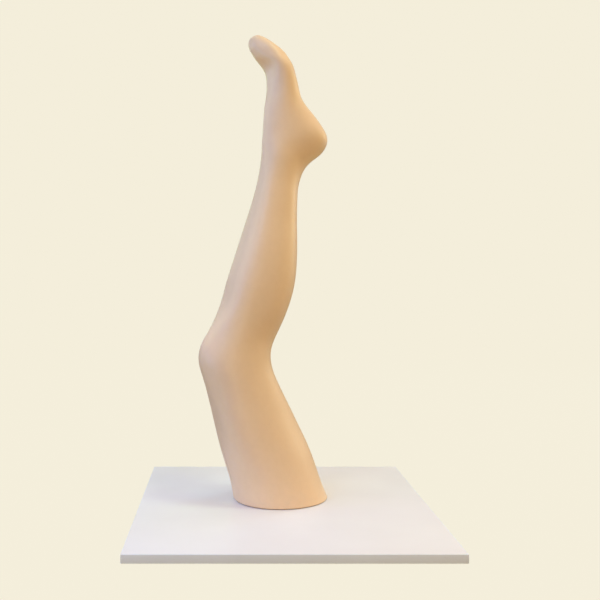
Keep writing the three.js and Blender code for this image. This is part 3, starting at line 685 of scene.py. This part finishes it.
def hand_finish(p):
    """Slight waves that sanding leaves in the form, in millimetres along the normal."""
    u, v, z = p[..., 0], p[..., 1], p[..., 2]
    return (0.055 * np.sin(z / 11.0 + 0.7 * np.sin(u / 17.0) + 1.3)
            + 0.050 * np.sin(v / 9.0 + z / 31.0) + 0.045 * np.sin(u / 8.0 - z / 23.0 + 0.5)
            + 0.030 * np.sin(z / 4.7 + v / 6.1 + u / 7.3))


def ring_positions(spacing):
    """Section positions spaced evenly along the leg, closer over the toe."""
    t = np.linspace(0, LAST, 4000)
    k = natural_spline(SECTIONS, t)
    step = np.maximum(np.hypot(np.diff(k[:, 0]), np.diff(k[:, 1])),
                      np.hypot(np.diff(k[:, 2]), np.diff(k[:, 3])))
    step = step * np.where(t[1:] > 28.5, 1.9, 1.0) * np.where(t[1:] > 32, 1.6, 1.0)
    run = np.concatenate([[0], np.cumsum(step)])
    n = int(run[-1] / spacing)
    return np.interp(np.linspace(0, run[-1], n + 1), run, t)


def half_angles(count):
    """Angles across one half, 0 to pi, close together at the parting lines."""
    fine = np.array([0, 0.004, 0.009, 0.016, 0.028, 0.05, 0.085])
    body = np.linspace(0.13, math.pi - 0.13, count)
    return np.concatenate([fine, body, math.pi - fine[::-1]])


def seam_line(t, s, noise_shift):
    """Depth of the filled parting line, in millimetres: hardly there, deeper near the
    rim on the shin side, where the filler has worn out of it."""
    z = middles(t)[:, 2][:, None]
    ragged = 0.75 + 0.25 * np.sin(z / 5.3 + noise_shift) * np.sin(z / 2.1 + 1.7 * noise_shift)
    return ragged * np.exp(-((s / 0.55) ** 2))


def shell_half(name, side):
    """One moulded half as a closed thin-walled body with an eased rim."""
    t = ring_positions(2.9)
    t = t[t > 0.055]
    ease = [(0.0, 0.95), (0.22, 0.42), (0.62, 0.10), (1.15, 0.0)]   # rim: height, inset
    lead = np.array([0.0, 0.006, 0.018, 0.034])
    t = np.concatenate([lead, t])
    ang = half_angles(52)
    n_t, n_a = len(t), len(ang)
    P = surface(t, side * ang)
    N = normals(t, side * ang)
    k = natural_spline(SECTIONS, t)
    width = ((k[:, 4] + k[:, 5]) / 2)[:, None]
    s_front = width * np.sin(np.minimum(ang, math.pi / 2))[None, :]
    s_rear = width * np.sin(np.minimum(math.pi - ang, math.pi / 2))[None, :]
    z_mid = middles(t)[:, 2][:, None]
    worn = np.exp(-((np.maximum(np.abs(z_mid - 54.0) - 16.0, 0) / 11.0) ** 2))
    groove = (0.05 + 0.38 * worn) * seam_line(t, s_front, 0.4) + 0.05 * seam_line(t, s_rear, 2.2)
    fade = np.clip((LAST - t) / 1.5, 0, 1)[:, None]
    lift = hand_finish(P) * fade - groove * fade
    lift = lift - 0.10 * np.clip((P[..., 2] - 733.0) / 9.0, 0, 1)   # keep the toe under the frame's top
    outer = P + N * lift[..., None]
    for i, (z, inset) in enumerate(ease):
        outer[i] = P[i] - N[i] * inset
        outer[i, :, 2] = z
    # close the toe: three shrinking rings, then a point
    m = middles(t[-1:])[0]
    tip_dir = np.cross(P[-1, n_a // 2] - m, P[-1, 0] - m)
    tip_dir /= np.linalg.norm(tip_dir)
    if np.dot(tip_dir, m - middles([LAST - 1.0])[0]) < 0:
        tip_dir = -tip_dir
    caps = []
    for a in (0.35, 0.75, 1.15):
        ring = m + (outer[-1] - m) * math.cos(a) + tip_dir * 0.36 * math.sin(a)
        ring[:, 1] = m[1] + (outer[-1][:, 1] - m[1]) * math.cos(a)
        caps.append(ring)
    outer = np.concatenate([outer, np.array(caps)])
    pole = m + tip_dir * 0.36
    # inner wall, on fewer columns
    pick = np.unique(np.concatenate([[0], np.linspace(3, n_a - 4, 15).astype(int), [n_a - 1]]))
    inner = P[:, pick] - N[:, pick] * WALL / MM
    base = surface(np.array([0.15]), side * ang[pick])[0] - normals(np.array([0.15]), side * ang[pick])[0] * WALL / MM
    f = -inner[0, :, 2] / (base[:, 2] - inner[0, :, 2])
    inner[0] += f[:, None] * (base - inner[0])
    inner[0, :, 2] = 0.0
    rows = np.unique(np.concatenate([[0], np.arange(4, n_t, 1), [n_t - 1]]))
    inner[:, 0, 1] = P[:, 0, 1]
    inner[:, -1, 1] = P[:, -1, 1]
    for i in (1, 2, 3):   # rings under the eased rim stay level with it
        w = ease[i][0] / max(inner[4, :, 2].min(), 1e-6)
        inner[i] = inner[0] + (inner[4] - inner[0]) * min(w, 0.9) * (i / 3)
    inner_pole = m - tip_dir * WALL / MM
    gap = side * 0.012
    bm = bmesh.new()

    def put(p):
        q = np.array(p, float)
        q[..., 1] += gap
        return [bm.verts.new(r) for r in world(q).reshape(-1, 3)]

    n_o = len(outer)
    O = [put(outer[i]) for i in range(n_o)]
    I = [put(inner[i]) for i in range(n_t)]
    O_p, I_p = put(pole[None])[0], put(inner_pole[None])[0]
    for i in range(n_o - 1):
        for j in range(n_a - 1):
            bm.faces.new((O[i][j], O[i][j + 1], O[i + 1][j + 1], O[i + 1][j]))
    for j in range(n_a - 1):
        bm.faces.new((O[-1][j], O[-1][j + 1], O_p))
    for i in range(n_t - 1):
        for j in range(len(pick) - 1):
            bm.faces.new((I[i][j + 1], I[i][j], I[i + 1][j], I[i + 1][j + 1]))
    for j in range(len(pick) - 1):
        bm.faces.new((I[-1][j + 1], I[-1][j], I_p))
    for j in range(len(pick) - 1):      # rim
        run = [O[0][k] for k in range(pick[j], pick[j + 1] + 1)]
        bm.faces.new((*reversed(run), I[0][j], I[0][j + 1]))
    for col_o, col_i, flip in ((0, 0, False), (n_a - 1, len(pick) - 1, True)):   # parting faces
        for i in range(n_t - 1):
            f = (I[i][col_i], O[i][col_o], O[i + 1][col_o], I[i + 1][col_i])
            bm.faces.new(f if not flip else f[::-1])
        extra = [O[i][col_o] for i in range(n_t - 1, n_o)]
        f = (I[n_t - 1][col_i], *extra, O_p, I_p)
        bm.faces.new(f if not flip else f[::-1])
    bmesh.ops.recalc_face_normals(bm, faces=bm.faces)
    if bm.calc_volume(signed=True) < 0:
        bmesh.ops.reverse_faces(bm, faces=bm.faces)
    for f in bm.faces:
        f.smooth = True
    for e in bm.edges:
        if len(e.link_faces) == 2 and e.calc_face_angle(0) > math.radians(50):
            e.smooth = False
    me = from_bm(bm, name)
    return me


shell_outer = piece("leg_skin_outer", shell_half("leg_skin_outer", 1), M_SKIN, "leg",
                    "leg_shell_outer", degrees=0)
shell_inner = piece("leg_skin_inner", shell_half("leg_skin_inner", -1), M_SKIN, "leg",
                    "leg_shell_inner", degrees=0)

# ------------------------------------------------------------------ base board
HALF = TOP_HI.x                                # panel half side
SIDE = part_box("edge_band_front")[1].x          # board half side
PLATE_LO, PLATE_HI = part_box("spigot_plate")
ROD_LO, ROD_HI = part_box("spigot_rod")
AXIS = (AXIS_X, AXIS_Y, 0.0)


def sheet_with_hole(name, z0, z1, hole_mm, ease_mm=0.12):
    """Laminate sheet with eased long edges and a round hole on the spigot axis."""
    me = block(name, (-HALF, -HALF, z0), (HALF, HALF, z1), fine_r=ease_mm)
    drill = lathe("drill", [(0, -5), (hole_mm, -5), (hole_mm, 5), (0, 5)], 128,
                  (AXIS_X, AXIS_Y, (z0 + z1) / 2))
    return subtract(me, drill)


piece("board_top", sheet_with_hole("board_top", TOP_LO.z, TOP_HI.z, 8.3), M_WHITE, "base",
      "base_top_laminate")
piece("board_underside", sheet_with_hole("board_underside", BOT_LO.z, BOT_HI.z, 56.0), M_WHITE,
      "base", "base_bottom_laminate")

for node, axis, sign in (("edge_band_front", 1, -1), ("edge_band_rear", 1, 1),
                         ("edge_band_left", 0, -1), ("edge_band_right", 0, 1)):
    lo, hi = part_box(node)
    wide = [(axis, sign, 2, 1), (axis, sign, 2, -1)]
    if axis == 1:
        wide += [(1, sign, 0, -1), (1, sign, 0, 1)]
    piece(node.replace("edge_band", "edge_trim"), block(node, lo, hi, wide, 0.55, 0.05), M_EDGE,
          "base", node)

for node in ("foot_pad_front_left", "foot_pad_front_right", "foot_pad_rear_left", "foot_pad_rear_right"):
    lo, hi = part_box(node)
    r = (hi.x - lo.x) / 2 / MM - 0.05
    h = (hi.z - lo.z) / MM
    profile = rounded([(0, 0.0), (3.6, 0.0, 0.1), (4.0, 0.45, 0.1), (4.8, 0.45, 0.1), (5.2, 0.0, 0.1),
                       (8.6, 0.0, 0.1), (9.0, 0.45, 0.1), (9.8, 0.45, 0.1), (10.2, 0.0, 0.1),
                       (r - 1.2, 0.0, 0.7), (r - 0.25, 0.9, 0.4), (r, h, 0.0), (0, h)], 0.1, 3)
    piece(node.replace("foot_pad", "rubber_foot"),
          lathe(node, profile, 72, ((lo.x + hi.x) / 2, (lo.y + hi.y) / 2, 0)), M_PAD, "base",
          node)


# ------------------------------------------------------------------ screws
def screw_mesh(name, x, y, z0, length):
    """Countersunk wood screw, head down at z0: cross recess, ring thread and a point."""
    profile = [(0, 0.0), (3.75, 0.0), (3.97, 0.12), (3.97, 0.3), (2.05, 2.25)]
    z = 2.9
    profile.append((2.0, 2.7))
    while z < length - 3.2:
        profile += [(1.42, z), (1.98, z + 0.35), (1.98, z + 0.5), (1.42, z + 0.85)]
        z += 1.15
    profile += [(1.42, length - 3.0), (1.1, length - 1.6), (0, length - 0.05)]
    me = lathe(name, profile, 48, (x, y, z0))
    cutters = []
    for turn in (math.pi / 4, -math.pi / 4):
        bm = bmesh.new()
        bmesh.ops.create_cube(bm, size=1.0)
        for v in bm.verts:
            deep = v.co.z > 0
            sx, sy = (2.1, 0.55) if deep else (4.3, 0.95)
            p = Vector((v.co.x * sx * MM, v.co.y * sy * MM, (1.7 if deep else -0.6) * MM))
            c, s = math.cos(turn), math.sin(turn)
            v.co = Vector((x + p.x * c - p.y * s, y + p.x * s + p.y * c, z0 + p.z))
        cutters.append(from_bm(bm, "recess"))
    return subtract(me, *cutters)


def hole_cutter(x, y, z0, length):
    return lathe("hole", [(0, -2), (4.3, -2), (4.3, 0.28), (2.3, 2.3), (2.3, length), (0, length)], 48,
                 (x, y, z0))


plate_screws, flange_screws = [], []
for k in range(1, 5):
    for stem, body, found in (("spigot_plate_screw", "base", plate_screws),
                              ("socket_flange_screw", "leg", flange_screws)):
        node = f"{stem}_{k}"
        lo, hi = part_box(node)
        x, y = (lo.x + hi.x) / 2, (lo.y + hi.y) / 2
        found.append((x, y, lo.z, (hi.z - lo.z) / MM))
        piece(f"{stem}_turned_{k}", screw_mesh(node, x, y, lo.z, (hi.z - lo.z) / MM), M_ZINC, body,
              node, 40)

# ------------------------------------------------------------------ spigot
plate_h = (PLATE_HI.z - PLATE_LO.z) / MM
plate_r = (PLATE_HI.x - PLATE_LO.x) / 2 / MM - 0.02
plate = lathe("spigot_disc", rounded([(0, 0), (plate_r, 0, 0.6), (plate_r, plate_h, 0.6), (0, plate_h)], 0.5),
              160, (AXIS_X, AXIS_Y, PLATE_LO.z))
plate = subtract(plate,
                 lathe("hole", [(0, -2), (8.3, -2), (8.3, 8), (0, 8)], 96, (AXIS_X, AXIS_Y, PLATE_LO.z)),
                 *[hole_cutter(x, y, z, 9) for x, y, z, _ in plate_screws])
piece("spigot_disc", plate, M_ZINC, "base", "spigot_plate")

rod_r = 7.98
rod_h = (ROD_HI.z - ROD_LO.z) / MM
rod = lathe("spigot_post", rounded([(0, 0.0), (rod_r, 0.0, 0.3), (rod_r, rod_h - 4.0, 2.0),
                                    (rod_r - 1.0, rod_h - 1.2, 0.8), (rod_r - 2.6, rod_h - 0.01, 0.8),
                                    (1.1, rod_h - 0.01, 0.1), (0.0, rod_h - 1.0)], 0.4, 5), 96,
            (AXIS_X, AXIS_Y, ROD_LO.z))
piece("spigot_post", rod, M_ROD, "base", "spigot_rod")

# ------------------------------------------------------------------ washer
w_lo, w_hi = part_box("glide_washer")
w_r, w_h = (w_hi.x - w_lo.x) / 2 / MM - 0.02, (w_hi.z - w_lo.z) / MM
washer = lathe("washer", rounded([(8.5, w_h / 2, 0), (8.5, 0.02, 0.3), (w_r, 0.02, 0.35),
                                  (w_r, w_h - 0.02, 0.45), (8.5, w_h - 0.02, 0.3), (8.5, w_h / 2 + 0.01, 0)],
                                 0.3), 128, (AXIS_X, AXIS_Y, w_lo.z))
piece("slip_washer", washer, M_NYLON, "swivel", "glide_washer")

# ------------------------------------------------------------------ socket
f_lo, f_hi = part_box("socket_flange")
f_r, f_h = (f_hi.x - f_lo.x) / 2 / MM - 0.02, (f_hi.z - f_lo.z) / MM
flange = lathe("socket_disc", rounded([(0, 0), (f_r, 0, 0.5), (f_r, f_h, 0.4), (0, f_h)], 0.4), 128,
               (AXIS_X, AXIS_Y, f_lo.z))
flange = subtract(flange,
                  lathe("hole", [(0, -2), (10.3, -2), (10.3, 8), (0, 8)], 96, (AXIS_X, AXIS_Y, f_lo.z)),
                  *[hole_cutter(x, y, z, 8) for x, y, z, _ in flange_screws])
piece("socket_disc", flange, M_ZINC, "leg", "socket_flange")

t_lo, t_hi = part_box("socket_tube")
t_h = (t_hi.z - t_lo.z) / MM
tube = lathe("socket_sleeve", rounded([(8.2, t_h / 2, 0), (8.2, 1.0, 0.3), (8.8, 0.0, 0.2), (9.9, 0.0, 0.3),
                                       (9.9, t_h, 0.3), (8.2, t_h, 0.3), (8.2, t_h / 2 + 0.01, 0)], 0.3),
             96, (AXIS_X, AXIS_Y, t_lo.z))
piece("socket_sleeve", tube, M_ROD, "leg", "socket_tube")

# ------------------------------------------------------------------ kept CAD nodes
for node, mat in (("base_core_board", M_CORE), ("thigh_end_plug", M_PLY), ("upper_guide_disc", M_PLY),
                  ("front_seam_strip", M_TAPE), ("rear_seam_strip", M_TAPE),
                  ("socket_tube_cap", M_NYLON)):
    ob = frame["nodes"][node]
    for slot in ob.material_slots:
        slot.material = mat
    if not ob.material_slots:
        ob.data.materials.append(mat)

# ------------------------------------------------------------------ stage
def stage_surface():
    """Pale floor that runs up into a backdrop on one easy curve, all the way round."""
    bm = bmesh.new()
    profile = [(1.3, 0.0), (2.6, 0.0)]
    for k in range(1, 13):
        a = math.radians(90 * k / 12)
        profile.append((2.6 + 1.2 * math.sin(a), 1.2 - 1.2 * math.cos(a)))
    profile.append((3.8, 6.0))
    middle = bm.verts.new((0.0, 0.0, -0.0004))
    cols = []
    for k in range(72):
        a = math.radians(5 * k)
        cols.append([bm.verts.new((r * math.cos(a), r * math.sin(a), z - 0.0004)) for r, z in profile])
    for a, b in zip(cols, cols[1:] + cols[:1]):
        bm.faces.new((middle, a[0], b[0]))
        for k in range(len(profile) - 1):
            bm.faces.new((a[k], a[k + 1], b[k + 1], b[k]))
    bmesh.ops.recalc_face_normals(bm, faces=bm.faces)
    for f in bm.faces:
        f.smooth = True
    ob = bpy.data.objects.new("sweep", from_bm(bm, "sweep"))
    SCENE.collection.objects.link(ob)
    mat = bpy.data.materials.new("sweep_paper")
    mat.use_nodes = True
    b = mat.node_tree.nodes["Principled BSDF"]
    b.inputs["Base Color"].default_value = (*STAGE_COLOUR, 1)
    b.inputs["Roughness"].default_value = 0.95
    b.inputs["Specular IOR Level"].default_value = 0.0
    b.inputs["Emission Color"].default_value = (*STAGE_GLOW, 1)
    b.inputs["Emission Strength"].default_value = 1.0
    ob.data.materials.append(mat)
    ob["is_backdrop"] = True
    return ob


STAGE_COLOUR = (0.004, 0.004, 0.004)
STAGE_GLOW = (0.903, 0.853, 0.706)
sweep = stage_surface()
sweep.visible_diffuse = False
sweep.visible_glossy = False
sweep.visible_transmission = False
sweep.visible_shadow = False

# ------------------------------------------------------------------ light
# name: (place, aim, size x, size y, colour x strength in watts)
LIGHTS = {
    "window_left_rear": ((-0.525, 1.989, 0.944), (0, 0.03, 0.4), 0.95, 0.95, (3.26, 4.40, 2.47)),
    "window_left_rear_b": ((-1.662, 1.193, 0.944), (0, 0.03, 0.4), 0.95, 0.95, (3.77, 3.42, 3.91)),
    "window_left_side": ((-1.959, -0.495, 0.944), (0, 0.03, 0.4), 0.95, 0.95, (0.00, 0.00, 8.52)),
    "lamp_right_rear": ((1.881, 0.790, 0.944), (0, 0.03, 0.4), 0.95, 0.95, (10.20, 8.90, 4.47)),
    "lamp_right_rear_b": ((1.554, 1.334, 0.944), (0, 0.03, 0.4), 0.95, 0.95, (7.79, 12.36, 19.40)),
    "window_left_front_high": ((-1.050, -1.020, 1.885), (0, 0.03, 0.4), 0.95, 0.95, (3.16, 8.26, 15.01)),
    "lamp_right_front_high": ((1.050, -1.020, 1.885), (0, 0.03, 0.4), 0.95, 0.95, (5.07, 0.74, 0.00)),
    "lamp_right_front_high_b": ((0.724, -0.423, 2.318), (0, 0.03, 0.4), 0.5, 0.5, (11.94, 15.46, 11.18)),
    "window_left_side_b": ((-1.885, 0.295, 1.287), (0, 0.03, 0.4), 0.5, 0.5, (3.67, 4.99, 3.61)),
    "window_left_side_low": ((-2.017, -0.511, 0.220), (0, 0.03, 0.4), 1, 0.4, (3.84, 5.93, 8.15)),
    "lamp_front_low": ((0.000, -2.058, 0.220), (0, 0.03, 0.4), 1, 0.4, (7.59, 6.94, 4.95)),
}
# soft light from behind that leaves no glint on the limb of the calf and heel
FILL_ONLY = ("lamp_right_rear_b",)
ROOM_ABOVE = (0.830, 0.628, 0.510)
ROOM_BELOW = (0.702, 0.567, 0.290)

for name, (place, aim, sx, sy, power) in LIGHTS.items():
    data = bpy.data.lights.new(name, "AREA")
    data.shape = "RECTANGLE"
    data.size, data.size_y = sx, sy
    top = max(power)
    data.energy = top
    data.color = tuple(c / top for c in power)
    ob = bpy.data.objects.new(name, data)
    ob.location = place
    ob.rotation_euler = (Vector(aim) - Vector(place)).to_track_quat("-Z", "Y").to_euler()
    ob.visible_camera = False
    ob.visible_glossy = name not in FILL_ONLY
    SCENE.collection.objects.link(ob)

world_data = bpy.data.worlds.new("room")
SCENE.world = world_data
world_data.use_nodes = True
wt = world_data.node_tree
wt.nodes.clear()
where = wt.nodes.new("ShaderNodeTexCoord")
axes = wt.nodes.new("ShaderNodeSeparateXYZ")
wt.links.new(where.outputs["Generated"], axes.inputs[0])
both = wt.nodes.new("ShaderNodeAddShader")
for slot, (sign, tone) in enumerate(((1.0, ROOM_ABOVE), (-1.0, ROOM_BELOW))):
    turn = wt.nodes.new("ShaderNodeMath")
    turn.operation = "MULTIPLY"
    turn.inputs[1].default_value = sign
    wt.links.new(axes.outputs["Z"], turn.inputs[0])
    lobe = wt.nodes.new("ShaderNodeMath")
    lobe.operation = "MAXIMUM"
    lobe.inputs[1].default_value = 0.0
    wt.links.new(turn.outputs[0], lobe.inputs[0])
    glow = wt.nodes.new("ShaderNodeBackground")
    glow.inputs["Color"].default_value = (*tone, 1)
    wt.links.new(lobe.outputs[0], glow.inputs["Strength"])
    wt.links.new(glow.outputs[0], both.inputs[slot])
room = wt.nodes.new("ShaderNodeOutputWorld")
wt.links.new(both.outputs[0], room.inputs["Surface"])

SCENE.view_settings.view_transform = "Standard"
SCENE.view_settings.look = "None"
SCENE.view_settings.exposure = 0.0
SCENE.view_settings.gamma = 1.0

# ------------------------------------------------------------------ sizes
lo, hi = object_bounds()
